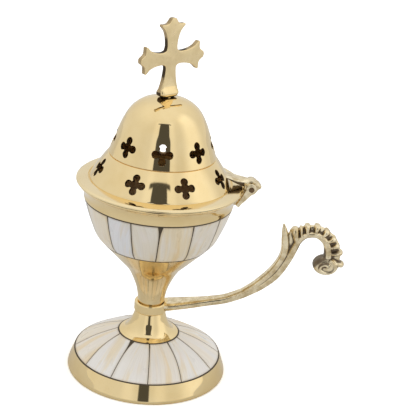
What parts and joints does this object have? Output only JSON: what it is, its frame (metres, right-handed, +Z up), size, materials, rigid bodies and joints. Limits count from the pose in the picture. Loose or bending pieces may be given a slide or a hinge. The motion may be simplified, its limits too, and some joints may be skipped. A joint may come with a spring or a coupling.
{
  "type": "hand censer",
  "caption": "Footed brass hand censer with mother-of-pearl inlay, a cast scroll handle, a drop-in charcoal cup and a hinged, pierced lid under a cross.",
  "frame": {"origin": "middle of the foot's resting face", "axes": "+Z up, +X towards the handle and the hinge, -Y towards the front of the pattern"},
  "size_m": [0.1279, 0.077, 0.172],
  "materials": {
    "turned_brass": "mirror polished",
    "cup_brass": "spun, unpolished",
    "cast_brass": "cast, polished on the high places and darker in the hollows",
    "foot_pearl": "polished mother-of-pearl, pinkish white",
    "bowl_pearl": "polished mother-of-pearl, cream to bluish grey with banding",
    "setting_resin": "dark setting resin, polished flush",
    "steel": "plain steel"
  },
  "bodies": {
    "base": {"foot": "turned_brass", "foot_resin": "setting_resin", "foot_tile_01": "foot_pearl", "foot_tile_02": "foot_pearl", "foot_tile_03": "foot_pearl", "foot_tile_04": "foot_pearl", "foot_tile_05": "foot_pearl", "foot_tile_06": "foot_pearl", "foot_tile_07": "foot_pearl", "foot_tile_08": "foot_pearl", "foot_tile_09": "foot_pearl", "foot_tile_10": "foot_pearl", "foot_tile_11": "foot_pearl", "foot_tile_12": "foot_pearl", "handle": "cast_brass", "bowl": "turned_brass", "bowl_resin": "setting_resin", "bowl_tile_01": "bowl_pearl", "bowl_tile_02": "bowl_pearl", "bowl_tile_03": "bowl_pearl", "bowl_tile_04": "bowl_pearl", "bowl_tile_05": "bowl_pearl", "bowl_tile_06": "bowl_pearl", "bowl_tile_07": "bowl_pearl", "bowl_tile_08": "bowl_pearl", "bowl_tile_09": "bowl_pearl", "bowl_tile_10": "bowl_pearl", "bowl_tile_11": "bowl_pearl", "bowl_tile_12": "bowl_pearl", "bowl_tile_13": "bowl_pearl", "bowl_tile_14": "bowl_pearl", "tie_bolt": "steel", "tie_washer": "steel", "tie_nut": "steel", "hinge_bracket": "cast_brass", "hinge_pin": "cast_brass"},
    "lid": {"lid": "turned_brass", "hinge_leaf": "cast_brass", "cross_finial": "cast_brass", "finial_nut": "steel"},
    "cup": {"charcoal_cup": "cup_brass"}
  },
  "joints": [
    {"name": "lid_hinge", "type": "hinge", "parent": "base", "child": "lid", "pos_m": [0.0417, 0, 0.097], "axis": [0, 1, 0], "range_deg": [0, 95]},
    {"name": "cup_lift", "type": "slide", "parent": "base", "child": "cup", "axis": [0, 0, 1], "range_m": [0, 0.0037]}
  ]
}
